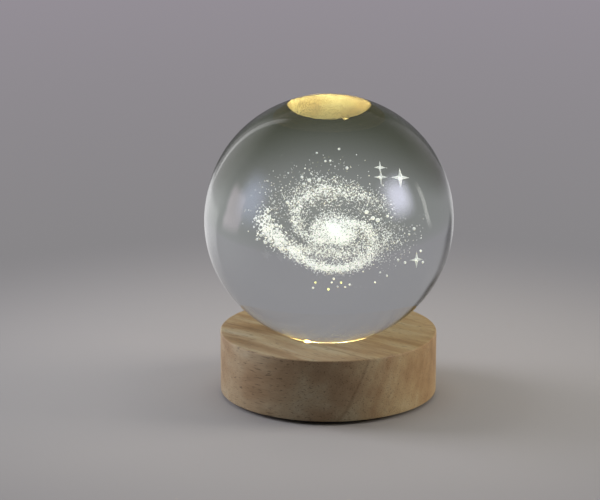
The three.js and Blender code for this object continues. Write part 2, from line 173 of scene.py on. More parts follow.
@dataclass(frozen=True)
class Beech(Finish):
    """Beech, turned and sanded, under a thin satin lacquer.

    It gives the eye cream, tan and olive-brown bands along the grain, which stand as upright arcs on the end
    grain, a greyer pink on the long grain than on the end grain, and fine fibres with short dark pores.
    """

    # The grain runs along X after this turn about Z, and the pith is a line along it
    grain_turn: float = 40.0
    pith: Triple = (0.0, -53.0, 24.0)
    # How far the growth rings waver, and over what lengths
    wave: float = 8.0
    wave_size: Triple = (34.0, 20.0, 20.0)
    # Colours across a growth ring, and its width and the length over which it changes
    bands: tuple[tuple[float, str], ...] = (
        (0.3, "#8A7150"), (0.44, "#A48B68"), (0.55, "#B3A07E"), (0.7, "#BFB598")
    )
    band_width: float = 5.0
    band_length: float = 34.0
    # How clear the rings are on the long grain, the end grain and the top, and where that changes
    side_band: float = 0.3
    end_band: float = 0.4
    end_edges: Pair = (-20.0, -6.0)
    top_band: float = 0.86
    top_edges: Pair = (20.6, 21.0)
    # Slow patches, and the hue of the long grain and of the end grain, which drifts with them
    patch_size: Triple = (22.0, 8.0, 10.0)
    pink: Triple = (0.95, 0.94, 0.96)
    tan: Triple = (1.0, 0.93, 0.8)
    hue_drift: float = 26.0
    hue_edges: Pair = (-12.0, 12.0)
    # One dark growth line
    line: str = "#5F4429"
    line_share: float = 0.3
    line_radius: float = 40.4
    line_edges: Pair = (0.7, 0.1)
    # Real fibres and pores are under 0.1 mm wide, so both are drawn as coarse as they need to show
    fibre_size: Triple = (6.0, 0.35, 0.35)
    fibre_edges: Pair = (0.25, 0.75)
    fibre_shade: Pair = (0.84, 1.1)
    satin: Pair = (0.42, 0.6)
    lacquer_index: float = 1.5
    # Short dark pores
    pore: str = "#483A28"
    pore_share: float = 0.55
    pore_size: Triple = (3.2, 0.42, 0.42)
    pore_edges: Pair = (0.61, 0.7)
    relief: float = 0.04
    bump: float = 0.3
    # Painted lamplight, drawn as an emission: its colour, its glow in the well, and the painted light that
    # leaks out round the seat
    light: str = "#FAFFDC"
    glow: float = 0.0
    spill: float = 0.14
    spill_fall: float = 3.0
    spill_edges: Pair = (19.36, 15.86)
    spill_heights: Pair = (20.9, 21.0)
    # A painted glint: one bright spark on the seat's rim
    spark: Triple = (-6.6, -14.42, 21.05)
    spark_reach: float = 1.45
    spark_fall: float = 2.0
    spark_glow: float = 150.0

    def surface(self, tree: Tree) -> Socket:
        """Builds the wood's nodes.

        Args:
            tree: The material's tree.

        Returns:
            The shader.
        """
        place = self.millimetres(tree, self.grain_turn)
        fibre = self.speckle(tree, place, self.fibre_size, 3.0)
        pores = add_node(tree, "MapRange", (self.speckle(tree, place, self.pore_size, 1.0), *self.pore_edges))
        radius = self._radius(tree, place)
        miss = add_node(tree, "Math", (radius, self.line_radius), operation="SUBTRACT")
        away = add_node(tree, "Math", (miss,), operation="ABSOLUTE")
        line = add_node(tree, "MapRange", (away, *self.line_edges))
        colour = self._ground(tree, place, radius)
        for factor, most, shade in ((line, self.line_share, self.line), (pores, self.pore_share, self.pore)):
            share = add_node(tree, "Math", (factor, most), operation="MULTIPLY")
            colour = add_node(tree, "Mix", {0: share, 6: colour, 7: linear(shade)}, 2, data_type="RGBA")
        lightness = add_node(tree, "MapRange", (fibre, *self.fibre_edges, *self.fibre_shade))
        colour = add_node(tree, "VectorMath", {0: colour, "Scale": lightness}, operation="SCALE")
        height = add_node(tree, "Math", (fibre, pores), operation="SUBTRACT")
        bump = {"Height": height, "Strength": self.bump, "Distance": self.relief * MM}
        # Painted lamplight: the wood's colour, tinted by the lamp's light, glows as an emission
        warm = linear(self.light)[:3]
        inputs = {
            "Base Color": colour,
            "Roughness": add_node(tree, "MapRange", (fibre, 0.0, 1.0, *self.satin)),
            "IOR": self.lacquer_index,
            "Normal": add_node(tree, "Bump", bump),
            "Emission Color": add_node(tree, "VectorMath", (colour, warm), operation="MULTIPLY"),
            "Emission Strength": self.glow or self._painted_spill(tree),
        }
        return add_node(tree, "BsdfPrincipled", inputs)

    def _radius(self, tree: Tree, place: Socket) -> Socket:
        """Measures how far a place is from the pith of the trunk.

        Args:
            tree: The material's tree.
            place: The place in millimetres, turned to the grain.

        Returns:
            The distance in millimetres, with slow waves along the grain.
        """
        across = add_node(tree, "VectorMath", (place, self.pith), operation="SUBTRACT")
        radius = self.distance(tree, across, (0.0, 1.0, 1.0))
        wave = self.speckle(tree, place, self.wave_size, 1.0)
        return add_node(tree, "Math", (wave, self.wave, radius), operation="MULTIPLY_ADD")

    def _ground(self, tree: Tree, place: Socket, radius: Socket) -> Socket:
        """Draws bands that follow the growth rings, under slow patches of hue.

        Args:
            tree: The material's tree.
            place: The place in millimetres, turned to the grain.
            radius: The distance from the pith.

        Returns:
            The ground colour.
        """
        x, y, z = add_node(tree, "SeparateXYZ", (place,)).node.outputs
        along = add_node(tree, "Math", (x, self.band_length), operation="DIVIDE")
        across = add_node(tree, "Math", (radius, self.band_width), operation="DIVIDE")
        way = add_node(tree, "CombineXYZ", (along, across))
        grain = {"Vector": way, "Scale": 1.0, "Detail": 3.0, "Roughness": 0.5}
        band = add_node(tree, "TexNoise", grain, "Fac")
        patch = self.speckle(tree, place, self.patch_size, 3.0)
        tone = add_node(tree, "Mix", {0: self._banded(tree, y, z), 2: patch, 3: band}, data_type="FLOAT")
        colour = add_node(tree, "ValToRGB", (tone,))
        stops = colour.node.color_ramp.elements
        while len(stops) < len(self.bands):
            stops.new(1.0)
        for stop, (at, shade) in zip(stops, self.bands):
            stop.position, stop.color = at, linear(shade)
        drift = add_node(tree, "Math", (patch, self.hue_drift, y), operation="MULTIPLY_ADD")
        side = add_node(tree, "MapRange", (drift, *self.hue_edges))
        hue = add_node(tree, "Mix", {0: side, 4: self.pink, 5: self.tan}, 1, data_type="VECTOR")
        return add_node(tree, "VectorMath", (colour, hue), operation="MULTIPLY")

    def _banded(self, tree: Tree, y: Socket, z: Socket) -> Socket:
        """Returns how clear the bands are: clearest on the top, and faintest on the long grain."""
        end = add_node(tree, "MapRange", (y, *self.end_edges, self.side_band, self.end_band))
        return add_node(tree, "MapRange", (z, *self.top_edges, end, self.top_band))

    def _painted_spill(self, tree: Tree) -> Socket:
        """Paints the light that leaks out under the ball round the seat, with one painted glint as a bright
        spark.

        Args:
            tree: The material's tree.

        Returns:
            The strength of the light.
        """
        place = self.millimetres(tree)
        z = add_node(tree, "SeparateXYZ", (place,), "Z")
        near = add_node(tree, "MapRange", (self.distance(tree, place, (1.0, 1.0, 0.0)), *self.spill_edges))
        fall = add_node(tree, "Math", (near, self.spill_fall), operation="POWER")
        above = add_node(tree, "MapRange", (z, *self.spill_heights, 0.0, self.spill))
        seep = add_node(tree, "Math", (fall, above), operation="MULTIPLY")
        away = add_node(tree, "VectorMath", (place, self.spark), "Value", operation="DISTANCE")
        close = add_node(tree, "MapRange", (away, self.spark_reach, 0.0))
        flare = add_node(tree, "Math", (close, self.spark_fall), operation="POWER")
        return add_node(tree, "Math", (flare, self.spark_glow, seep), operation="MULTIPLY_ADD")


@dataclass(frozen=True)
class OpticalGlass(Finish):
    """Clear crystal glass, ground and polished to a full ball.

    It gives the eye a perfectly clear body that turns what is behind it upside down, with sharp highlights
    and a bright inner reflection of the lit seat near the top.
    """

    tint: str = "#F0FAF2"
    shadow_tint: str = "#E6E9E8"
    index: float = 1.455

    def surface(self, tree: Tree) -> Socket:
        """Builds the glass, which lets the lamps shine through with a faint shadow.

        Args:
            tree: The material's tree.

        Returns:
            The shader.
        """
        inputs = {
            "Base Color": linear(self.tint),
            "Roughness": 0.0,
            "IOR": self.index,
            "Transmission Weight": 1.0,
        }
        glass = add_node(tree, "BsdfPrincipled", inputs)
        clear = add_node(tree, "BsdfTransparent", {"Color": linear(self.shadow_tint)})
        shadow = add_node(tree, "LightPath", output="Is Shadow Ray")
        return add_node(tree, "MixShader", (shadow, glass, clear))


@dataclass(frozen=True)
class CrackedGlass(Finish):
    """Glass burst by a laser into a cloud of white micro-cracks, with a painted glow for the diodes' light
    from below through the ball.

    It gives the eye chalk-white grains that shine where they lie close together.
    """

    colour: str = "#FFFFFF"
    # Strength of the painted glow
    painted_glow: float = 0.8
    patch_size: Triple = (0.5, 0.5, 0.5)
    patch_edges: Pair = (0.3, 0.7)
    patch_shade: Pair = (0.62, 1.0)
    roughness: float = 0.7
    index: float = 1.5

    def surface(self, tree: Tree) -> Socket:
        """Builds the grains' nodes.

        Args:
            tree: The material's tree.

        Returns:
            The shader.
        """
        patch = self.speckle(tree, self.millimetres(tree), self.patch_size, 1.0)
        light = add_node(tree, "MapRange", (patch, *self.patch_edges, *self.patch_shade))
        ground = {0: linear(self.colour)[:3], "Scale": light}
        colour = add_node(tree, "VectorMath", ground, operation="SCALE")
        inputs = {
            "Base Color": colour,
            "Roughness": self.roughness,
            "IOR": self.index,
            "Emission Color": colour,
            "Emission Strength": self.painted_glow,
        }
        return add_node(tree, "BsdfPrincipled", inputs)


@dataclass(frozen=True)
class Grained(Finish):
    """A plain solid material with a fine surface grain, for boards, plastics, foam and small parts.

    The two colours give the eye a slight mottle, and the bump its mould, cell or print texture. The real
    texture is finer than a tenth of a millimetre, so it is drawn as coarse as it needs to show.
    """

    colour: str = "#808080"
    mottle: str = "#707070"
    grain: float = 0.5
    roughness: float = 0.5
    metallic: float = 0.0
    bump: float = 0.2
    # A glow: painted light on the diode's white shell, and the real light of the phosphor
    glow: str = "#000000"
    glow_strength: float = 0.0
    relief: float = 0.05
    sheen_range: float = 0.08
    smoothest: float = 0.05

    def surface(self, tree: Tree) -> Socket:
        """Builds the mottled solid's nodes.

        Args:
            tree: The material's tree.

        Returns:
            The shader.
        """
        grain = self.speckle(tree, self.millimetres(tree), (self.grain,) * 3, 3.0)
        colours = {0: grain, 6: linear(self.colour), 7: linear(self.mottle)}
        low = max(self.roughness - self.sheen_range, self.smoothest)
        roughness = (grain, 0.0, 1.0, low, self.roughness + self.sheen_range)
        bump = {"Height": grain, "Strength": self.bump, "Distance": self.relief * MM}
        inputs = {
            "Base Color": add_node(tree, "Mix", colours, 2, data_type="RGBA"),
            "Roughness": add_node(tree, "MapRange", roughness),
            "Metallic": self.metallic,
            "Normal": add_node(tree, "Bump", bump),
        }
        if self.glow_strength:
            inputs |= {"Emission Color": linear(self.glow), "Emission Strength": self.glow_strength}
        return add_node(tree, "BsdfPrincipled", inputs)


@dataclass(frozen=True)
class MaskWithPaintedGlow(Finish):
    """White solder mask on glass-fibre board, with the diodes' warm light painted on it as a glow.

    It gives the eye a glossy white ground under a painted glow that turns golden away from the middle.
    """

    ground: str = "#EDEDE8"
    # The painted glow: its colour near the middle and far out, the radii where it changes and ends, and its
    # strength
    near: str = "#FFF3D4"
    far: str = "#F8D8A0"
    middle: float = 3.0
    reach: float = 15.0
    edge: float = 0.4
    strength: float = 5.0
    grain_size: Triple = (0.8, 0.8, 0.8)
    gloss: Pair = (0.35, 0.5)

    def surface(self, tree: Tree) -> Socket:
        """Builds the nodes of the board and its painted glow.

        Args:
            tree: The material's tree.

        Returns:
            The shader.
        """
        place = self.millimetres(tree)
        radius = self.distance(tree, place, (1.0, 1.0, 0.0))
        away = add_node(tree, "MapRange", (radius, self.middle, self.reach))
        colours = {0: away, 6: linear(self.near), 7: linear(self.far)}
        glow = add_node(tree, "Mix", colours, 2, data_type="RGBA")
        inside = add_node(tree, "MapRange", (radius, self.reach, self.reach + self.edge, 1.0, 0.0))
        grain = self.speckle(tree, place, self.grain_size)
        inputs = {
            "Base Color": linear(self.ground),
            "Roughness": add_node(tree, "MapRange", (grain, 0.0, 1.0, *self.gloss)),
            "Emission Color": add_node(tree, "VectorMath", {0: glow, "Scale": inside}, operation="SCALE"),
            "Emission Strength": self.strength,
        }
        return add_node(tree, "BsdfPrincipled", inputs)


BEECH = Beech("turned_beech")
# The same wood in the well and the seat, with a painted pale yellow glow that stands in for the diodes' light
PAINTED_LAMPLIT_BEECH = Beech("turned_beech_with_painted_lamplight", glow=14.4)
CRYSTAL = OpticalGlass("polished_crystal_glass")
# Fine cracks of the arms, coarser ones on their rim, close ones in the core, and the stars: chalk white, a
# shade apart in brightness, each with a painted glow that stands in for the diodes' light
FINE_CRACKS = CrackedGlass("micro_cracks_fine", "#FBFCFA", 0.56)
COARSE_CRACKS = CrackedGlass("micro_cracks_coarse", "#FCFCFA", 0.55)
DENSE_CRACKS = CrackedGlass("micro_cracks_dense", "#FCFDFC", 0.58)
STAR_CRACKS = CrackedGlass("micro_cracks_star", "#FAFCF8", 0.55)
# Painted reflections of the diodes: lemon yellow grains with a painted glow
PAINTED_GLINT_CRACKS = CrackedGlass("micro_cracks_as_painted_diode_glints", "#FFFDB4", 1.05)
# Cut from a foamed sheet: a dull black, pimpled by its small cells
FOAM = Grained("closed_cell_foam", "#1D1D1E", "#29292A", grain=0.5, roughness=0.9, bump=0.6)
# Wood fibre pressed flat: a matt dark brown with a fibrous mottle
FIBREBOARD = Grained("pressed_fibreboard", "#3A3029", "#2A221D", grain=0.8, roughness=0.8, bump=0.5)
# Printed over glass-fibre board: a satin green, a little uneven from the cloth under it
GREEN_MASK = Grained("green_solder_mask", "#1E6B3F", "#1A5C36", grain=1.2, roughness=0.35, bump=0.1)
# Moulded in a fine-blasted tool: an even satin black
BLACK_NYLON = Grained("moulded_nylon", "#1A1A1B", "#222223", grain=0.3, roughness=0.5, bump=0.2)
# Fired with a glaze: a hard, glossy near-black
CERAMIC = Grained("glazed_alumina", "#1D1D20", "#2A2A2E", grain=0.4, roughness=0.3, bump=0.1)
# Pressed steel, plated bright: a smooth, faintly warm mirror
NICKEL = Grained(
    "nickel_plated_steel", "#C9CACB", "#BDBEC0", grain=0.6, roughness=0.25, metallic=1.0, bump=0.05
)
# Cold-headed steel, plated: a bluish grey metal with soft, slightly mottled reflections
ZINC = Grained("zinc_plated_steel", "#BFC1C6", "#A9ACB2", grain=0.4, roughness=0.35, metallic=1.0, bump=0.1)
# Set from the melt: a bright silvery bead with fine ripples
TIN = Grained("tin_solder", "#C6C8CA", "#B4B6B9", grain=0.5, roughness=0.3, metallic=1.0, bump=0.2)
# Stamped copper with a flash of gold: a clear warm yellow metal
GOLD = Grained(
    "gold_flash_on_copper", "#E2B45C", "#D6A54B", grain=0.3, roughness=0.25, metallic=1.0, bump=0.05
)
# Extruded over the wires: an even satin red, and an even satin black
RED_PVC = Grained("red_wire_insulation", "#A8201C", "#9A1B18", grain=0.5, roughness=0.45, bump=0.1)
BLACK_PVC = Grained("black_wire_insulation", "#19191A", "#222223", grain=0.5, roughness=0.45, bump=0.1)
BOARD_WITH_PAINTED_GLOW = MaskWithPaintedGlow("white_solder_mask_with_painted_glow")
# Moulded white plastic, with a painted warm white glow for the light of its own diode
DIODE_SHELL = Grained(
    "white_reflector_plastic", "#F4F1E9", "#EAE6DC", roughness=0.4, glow="#FFDF90", glow_strength=7.0
)
# Yellow powder cast in clear silicone, lit from behind: a dazzling warm white
PHOSPHOR = Grained(
    "phosphor_in_silicone", "#FFD978", "#FFC955", grain=0.3, roughness=0.3, glow="#FFE8A8", glow_strength=32.0
)


# Meshes

BOX_FACES = [(0, 1, 3, 2), (4, 6, 7, 5), (0, 4, 5, 1), (2, 3, 7, 6), (0, 2, 6, 4), (1, 5, 7, 3)]


def add_object(name: str, data: bpy.types.ID) -> bpy.types.Object:
    """Adds an object to the scene.

    Args:
        name: Its name.
        data: Its mesh, light or camera.

    Returns:
        The object.
    """
    added = bpy.data.objects.new(name, data)
    bpy.context.scene.collection.objects.link(added)
    return added


def shade(data: bpy.types.Mesh, smooth: float) -> None:
    """Shades a mesh smooth, save for edges that turn by that many degrees or more."""
    data.shade_smooth()
    data.set_sharp_from_angle(angle=math.radians(smooth))


def make_object(
    name: str,
    mesh: Mesh,
    finish: Finish,
    body: str,
    stands_for: Sequence[str] = (),
    smooth: float | None = None,
) -> bpy.types.Object:
    """Makes one piece of the lamp from a mesh in metres.

    Args:
        name: The piece's name.
        mesh: Its vertices and faces.
        finish: The finish of all its faces.
        body: The moving body that it rides on.
        stands_for: CAD nodes that it stands for.
        smooth: Edges that turn by less than this many degrees are shaded smooth, or None for flat shading.

    Returns:
        The new object.
    """
    data = bpy.data.meshes.new(name)
    data.from_pydata(mesh[0], [], mesh[1])
    data.update()
    data.materials.append(finish.material())
    if smooth is not None:
        shade(data, smooth)
    piece = add_object(name, data)
    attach(piece, body)
    if stands_for:
        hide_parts(*stands_for)
    LOG.info("%s: %s", name, finish.name)
    return piece


def dress(names: Sequence[str], finish: Finish) -> None:
    """Gives CAD nodes their finish.

    Args:
        names: The nodes' names.
        finish: The finish of all their faces.
    """
    for name in names:
        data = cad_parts[name].data
        data.materials.clear()
        data.materials.append(finish.material())
        LOG.info("%s: %s", name, finish.name)


def joined(parts: Iterable[Mesh]) -> Mesh:
    """Joins meshes.

    Args:
        parts: The meshes, in order.

    Returns:
        One mesh of all of them.
    """
    verts: list[Triple] = []
    faces: list[tuple[int, ...]] = []
    for corners, sides in parts:
        faces += [tuple(len(verts) + index for index in side) for side in sides]
        verts += corners
    return verts, faces


def block(box: Sequence[float]) -> Mesh:
    """Returns a box in metres, from its low and high X, Y and Z in millimetres."""
    ends = [value * MM for value in box]
    return [(x, y, z) for x in ends[:2] for y in ends[2:4] for z in ends[4:]], BOX_FACES


def sphere(centre: Sequence[float], radius: float, sides: int, rings: int) -> Mesh:
    """Makes a round ball.

    Args:
        centre: Its middle, in millimetres.
        radius: Its radius, in millimetres.
        sides: Steps round its upright axis.
        rings: Steps from pole to pole.

    Returns:
        A closed mesh in metres.
    """
    verts = []
    for ring in range(rings + 1):
        polar = math.pi * ring / rings
        reach, height = radius * math.sin(polar), -radius * math.cos(polar)
        for side in range(1 if ring in (0, rings) else sides):
            angle = 2 * math.pi * side / sides
            way = (reach * math.cos(angle), reach * math.sin(angle), height)
            verts.append(tuple((middle + part) * MM for middle, part in zip(centre, way)))
    top = len(verts) - 1
    last = top - sides
    faces = []
    for side in range(sides):
        following = (side + 1) % sides
        faces += [(0, 1 + following, 1 + side), (last + side, last + following, top)]
        for low in range(1, last, sides):
            faces.append((low + side, low + following, low + sides + following, low + sides + side))
    return verts, faces


def turned(profile: Sequence[Pair], sides: int) -> Mesh:
    """Turns a closed profile about Z.

    Args:
        profile: Radius and height of each corner, in millimetres, off the axis.
        sides: Steps round the axis.

    Returns:
        A closed ring-shaped mesh in metres.
    """
    count = len(profile)
    verts = [
        (radius * MM * math.cos(angle), radius * MM * math.sin(angle), height * MM)
        for angle in (2 * math.pi * side / sides for side in range(sides))
        for radius, height in profile
    ]
    faces = []
    for side in range(sides):
        here, there = side * count, (side + 1) % sides * count
        for at in range(count):
            after = (at + 1) % count
            faces.append((here + at, there + at, there + after, here + after))
    return verts, faces


def arc(centre: Pair, radius: float, start: float, end: float, steps: int) -> list[Pair]:
    """Returns points on an arc of a profile, from one angle in degrees to another."""
    angles = [math.radians(start + (end - start) * step / steps) for step in range(steps + 1)]
    return [(centre[0] + radius * math.cos(a), centre[1] + radius * math.sin(a)) for a in angles]


# Glass and galaxy


@dataclass
class GlassBall:
    """The polished glass ball."""

    sides: int = 256
    rings: int = 128
    smooth: float = 60.0

    def mesh(self) -> Mesh:
        """Returns a fine ball of the CAD ball's size, with its poles on the lamp's axis."""
        low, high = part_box("crystal_ball")
        return sphere((low + high) / 2 / MM, (high.z - low.z) / 2 / MM, self.sides, self.rings)

    def build(self) -> None:
        """Adds the ball in place of its CAD solid."""
        make_object("glass_ball", self.mesh(), CRYSTAL, "ball", ("crystal_ball",), self.smooth)


class GrainShape(Enum):
    """The two shapes of engraved grain: corners of a unit grain, and its faces."""

    CHIP = (
        ((1, 1, 1), (1, -1, -1), (-1, 1, -1), (-1, -1, 1)),
        ((0, 1, 2), (0, 3, 1), (0, 2, 3), (1, 3, 2)),
    )
    BEAD = (
        ((1.5, 0, 0), (-1.5, 0, 0), (0, 1.5, 0), (0, -1.5, 0), (0, 0, 1.5), (0, 0, -1.5)),
        ((0, 2, 4), (2, 1, 4), (1, 3, 4), (3, 0, 4), (2, 0, 5), (1, 2, 5), (3, 1, 5), (0, 3, 5)),
    )


@dataclass
class Galaxy:
    """The engraved spiral: two main arms and an inner one, wound clockwise out of a dense core.

    Dust and stars lie about them. Lengths are in millimetres. The real cracks are finer than can be shown, so
    each grain is drawn as coarse as it needs to show.
    """

    seed: int = 11
    # The disc's slope in degrees, and its middle about the ball's centre
    tilt: float = 26.5
    core: Triple = (1.25, 0.0, -2.45)
    # The core: a round cloud, a tight heart, and a tail that draws it out towards the lower right
    core_offset: Triple = (0.0, -0.3, 0.0)
    core_grains: int = 4000
    core_reach: float = 5.2
    core_height: float = 0.9
    core_power: float = 0.55
    core_blur: float = 0.35
    heart_grains: int = 1000
    heart_size: Triple = (1.2, 1.1, 0.85)
    tail_grains: int = 500
    tail_size: Triple = (1.2, 1.1, 0.5)
    tail_offset: Triple = (1.9, -2.6, 0.0)
    # The arms: grains along each, and how far they stray from its line and from the disc
    near_grains: int = 4300
    far_grains: int = 1950
    inner_grains: int = 750
    coarse_grains: int = 640
    arm_steps: int = 400
    arm_blur: float = 0.6
    thickness: float = 0.35
    # The haze between the arms, thinned on the far side
    fill_grains: int = 3700
    fill_start: float = 3.0
    fill_width: float = 9.6
    fill_far: float = 1.5
    fill_loss: float = 0.55
    # The dust beyond the arms: the share of it over the far arm, the middle and the spread of its two parts
    # in degrees, and how it falls off outwards
    dust_grains: int = 1350
    dust_share: float = 0.62
    dust_over: Pair = (112, 26)
    dust_right: Pair = (-24, 19)
    dust_start: float = 12.4
    dust_fall: float = 2.3
    dust_end: float = 20.0
    dust_height: float = 0.9
    # Half width of a grain, and how much it varies
    dense: Pair = (0.06, 0.25)
    fine: Pair = (0.065, 0.35)
    coarse: Pair = (0.115, 0.4)
    # How wide the dark lanes spread, and the share of grains that they lose
    gap_spread: float = 0.8
    gap_loss: float = 0.93
    lane_spread: float = 0.4
    lane_loss: float = 0.7
    # How thick a pointed star is at its middle, as a share of its half width, and the round stars' steps
    star_waist: float = 0.16
    bead_sides: int = 10
    bead_rings: int = 6
    bead_smooth: float = 80.0
    # Points along each arm: angle in degrees, radius, spread and weight
    near_arm: Rows = (
        (44, 3.8, 1.1, 0.5), (8, 7.0, 1.5, 1.0), (-13, 8.2, 1.8, 0.8), (-30, 10.0, 2.2, 0.6),
        (-45, 12.6, 2.3, 0.75), (-62, 14.6, 2.0, 1.5), (-79, 15.4, 2.0, 2.1), (-95, 15.1, 2.0, 2.2),
        (-112, 14.2, 1.8, 1.5), (-132, 12.9, 1.7, 1.0), (-151, 12.8, 1.8, 0.8), (-168, 13.6, 2.0, 0.7),
        (-182, 14.7, 2.1, 0.6), (-194, 15.6, 1.9, 0.5), (-208, 15.4, 1.5, 0.2),
    )
    coarse_arm: Rows = (
        (-88, 15.4, 1.2, 0.2), (-112, 14.5, 1.5, 0.4), (-132, 13.2, 1.9, 0.8), (-151, 13.1, 2.2, 1.1),
        (-168, 13.9, 2.4, 1.3), (-182, 14.8, 2.3, 1.1), (-194, 15.7, 2.0, 0.6), (-208, 15.4, 1.6, 0.2),
    )
    inner_arm: Rows = (
        (-52, 10.4, 1.4, 0.3), (-70, 9.6, 1.5, 1.0), (-92, 8.8, 1.7, 0.8), (-112, 8.8, 2.0, 0.8),
        (-130, 9.8, 1.9, 1.1), (-146, 10.6, 1.5, 1.0),
    )
    far_arm: Rows = (
        (-118, 4.4, 1.2, 0.9), (-138, 6.0, 1.3, 1.2), (-158, 6.6, 1.4, 0.8), (-180, 7.8, 1.5, 0.7),
        (-198, 8.9, 1.6, 0.8), (-215, 10.0, 1.7, 0.9), (-230, 11.2, 1.8, 1.1), (-248, 11.8, 1.8, 1.2),
        (-268, 12.0, 2.1, 1.1), (-290, 12.0, 2.0, 1.0), (-308, 12.2, 1.9, 0.6), (-322, 12.8, 1.8, 0.3),
        (-334, 13.6, 1.6, 0.1),
    )
    # Points along the dark lanes: angle in degrees and radius
    gap: Rows = (
        (-218, 13.0), (-200, 11.6), (-182, 10.2), (-165, 8.9), (-148, 8.5), (-138, 8.4),
    )
    lane: Rows = (
        (-132, 11.6), (-120, 11.5), (-100, 11.9), (-80, 12.3), (-62, 11.8),
    )
    # Round stars: place about the ball's centre, then width
    beads: Rows = (
        (-5.8, 4.8, 8.0, 0.64), (-4.2, 4.7, 7.3, 0.79), (-2.2, 0.7, 8.8, 0.87), (-5.8, -2.5, 8.9, 0.69),
        (-8.5, 7.3, 1.6, 0.71), (4.4, -5.5, 14.1, 0.74), (8.0, 4.6, 0.3, 0.92), (9.5, 2.9, -0.6, 0.89),
        (10.6, 2.3, -0.9, 0.94), (12.6, 3.5, -0.3, 0.64), (19.6, -1.7, -1.9, 0.77),
        (18.3, -1.5, -3.2, 0.52), (16.5, -6.9, -8.3, 0.59), (18.3, -6.9, -9.0, 0.67),
        (18.8, 6.5, -8.4, 0.54), (20.7, 1.5, -10.2, 0.59), (-2.9, -2.8, 17.0, 0.51),
        (-0.8, -0.1, 13.7, 0.53), (0.3, 7.3, 10.8, 0.49), (2.2, 6.5, 13.9, 0.55), (-3.8, 5.3, 8.6, 0.39),
        (-3.4, -2.5, -15.1, 0.51), (0.7, -1.0, -14.0, 0.45), (1.1, 1.6, -13.5, 0.52),
        (2.1, -6.9, -14.4, 0.44), (3.6, -0.2, -15.1, 0.39), (4.8, -4.1, -14.2, 0.52),
        (9.5, 4.4, -14.5, 0.41), (12.1, -6.8, -11.2, 0.45), (12.4, 1.7, -12.9, 0.45),
        (7.1, 4.4, -12.3, 0.37), (9.3, -6.3, -5.2, 0.64), (-15.8, 2.8, -0.6, 0.56),
        (-15.4, -2.5, -3.3, 0.71), (-14.7, -5.0, -4.5, 0.78), (-7.3, 1.5, -1.3, 0.76),
        (-12.8, 2.9, -0.6, 0.76),
    )
    # Painted reflections: three round beads low in the ball, painted lemon yellow as reflections of the
    # diodes
    painted_glint_beads: Rows = (
        (-2.9, -3.5, -13.8, 0.52), (0.0, -3.9, -15.3, 0.58), (2.8, -3.5, -13.8, 0.5),
    )
    # Pointed stars: place about the ball's centre, then half their width and half their height
    points: Rows = (
        (12.1, -1.9, 13.0, 1.5, 1.75), (11.3, 4.5, 8.2, 1.5, 1.9), (15.7, 4.2, 8.3, 2.15, 2.35),
        (21.0, -5.3, -8.7, 1.95, 2.05),
    )

    def __post_init__(self) -> None:
        """Sets up the random draws and the disc's axes."""
        self.random: np.random.Generator = np.random.default_rng(self.seed)
        low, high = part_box("crystal_ball")
        self.centre: np.ndarray = np.array((low + high) / 2) / MM
        cosine, sine = math.cos(math.radians(self.tilt)), math.sin(math.radians(self.tilt))
        self.axes: np.ndarray = np.array([[1.0, 0.0, 0.0], [0.0, cosine, sine], [0.0, -sine, cosine]])

    def placed(self, disc: np.ndarray) -> np.ndarray:
        """Moves places on the disc to places in the lamp."""
        return disc @ self.axes + np.array(self.core) + self.centre

    @staticmethod
    def rows(radius: np.ndarray, angle: np.ndarray, height: np.ndarray) -> np.ndarray:
        """Returns places on the disc, one row each, from radii, angles in radians and heights."""
        return np.column_stack([radius * np.cos(angle), radius * np.sin(angle), height])

    def along(self, arm: Rows, count: int) -> np.ndarray:
        """Scatters grains along an arm.

        Args:
            arm: The arm's points, in order.
            count: How many grains to place.

        Returns:
            Their places on the disc, one row each.
        """
        steps = np.linspace(0, len(arm) - 1, self.arm_steps)
        columns = np.array(arm).T
        angle, radius, spread, weight = (np.interp(steps, np.arange(len(arm)), column) for column in columns)
        length = np.hypot(np.gradient(radius), radius * np.gradient(np.radians(angle)))
        chosen = self.random.choice(len(steps), count, p=weight * length / (weight * length).sum())
        angle = np.radians(angle[chosen] + self.random.uniform(-0.5, 0.5, count))
        radius = radius[chosen] + self.random.normal(0, self.arm_blur, count) * spread[chosen]
        return self.rows(radius, angle, self.random.normal(0, self.thickness, count))

    def thinned(self, disc: np.ndarray) -> np.ndarray:
        """Takes away most grains that lie in the dark lanes between the arms.

        Args:
            disc: The grains' places on the disc, one row each.

        Returns:
            The places that are left.
        """
        degrees = np.degrees(np.arctan2(disc[:, 1], disc[:, 0])) % -360
        radius = np.hypot(disc[:, 0], disc[:, 1])
        loss = np.zeros(len(disc))
        lanes = ((self.gap, self.gap_spread, self.gap_loss), (self.lane, self.lane_spread, self.lane_loss))
        for line, spread, share in lanes:
            angles, radii = np.array(line).T
            middle = np.interp(degrees, angles, radii, left=0, right=0)
            loss = np.maximum(loss, share * np.exp(-0.5 * ((radius - middle) / spread) ** 2))
        return disc[self.random.uniform(size=len(disc)) > loss]

    def fill(self) -> np.ndarray:
        """Scatters the thin haze between the arms, thicker on the near side of the core.

        Returns:
            The grains' places on the disc, one row each.
        """
        count = self.fill_grains
        angle = self.random.uniform(-math.pi, math.pi, count)
        radius = self.fill_start + self.fill_width * np.sqrt(self.random.uniform(size=count))
        disc = self.rows(radius, angle, self.random.normal(0, self.thickness, count))
        far = disc[:, 1] > self.fill_far
        return self.thinned(disc[~(far & (self.random.uniform(size=count) < self.fill_loss))])

    def dust(self) -> np.ndarray:
        """Scatters sparse dust beyond the arms, most of it over the far arm and at the right.

        Returns:
            The grains' places on the disc, one row each.
        """
        count = self.dust_grains
        over = self.random.uniform(size=count) < self.dust_share
        parts = (self.dust_over, self.dust_right)
        angles = [self.random.normal(middle, spread, count) for middle, spread in parts]
        radius = self.dust_start + self.random.exponential(self.dust_fall, count)
        height = self.random.normal(0, self.dust_height, count)
        return self.rows(np.minimum(radius, self.dust_end), np.radians(np.where(over, *angles)), height)

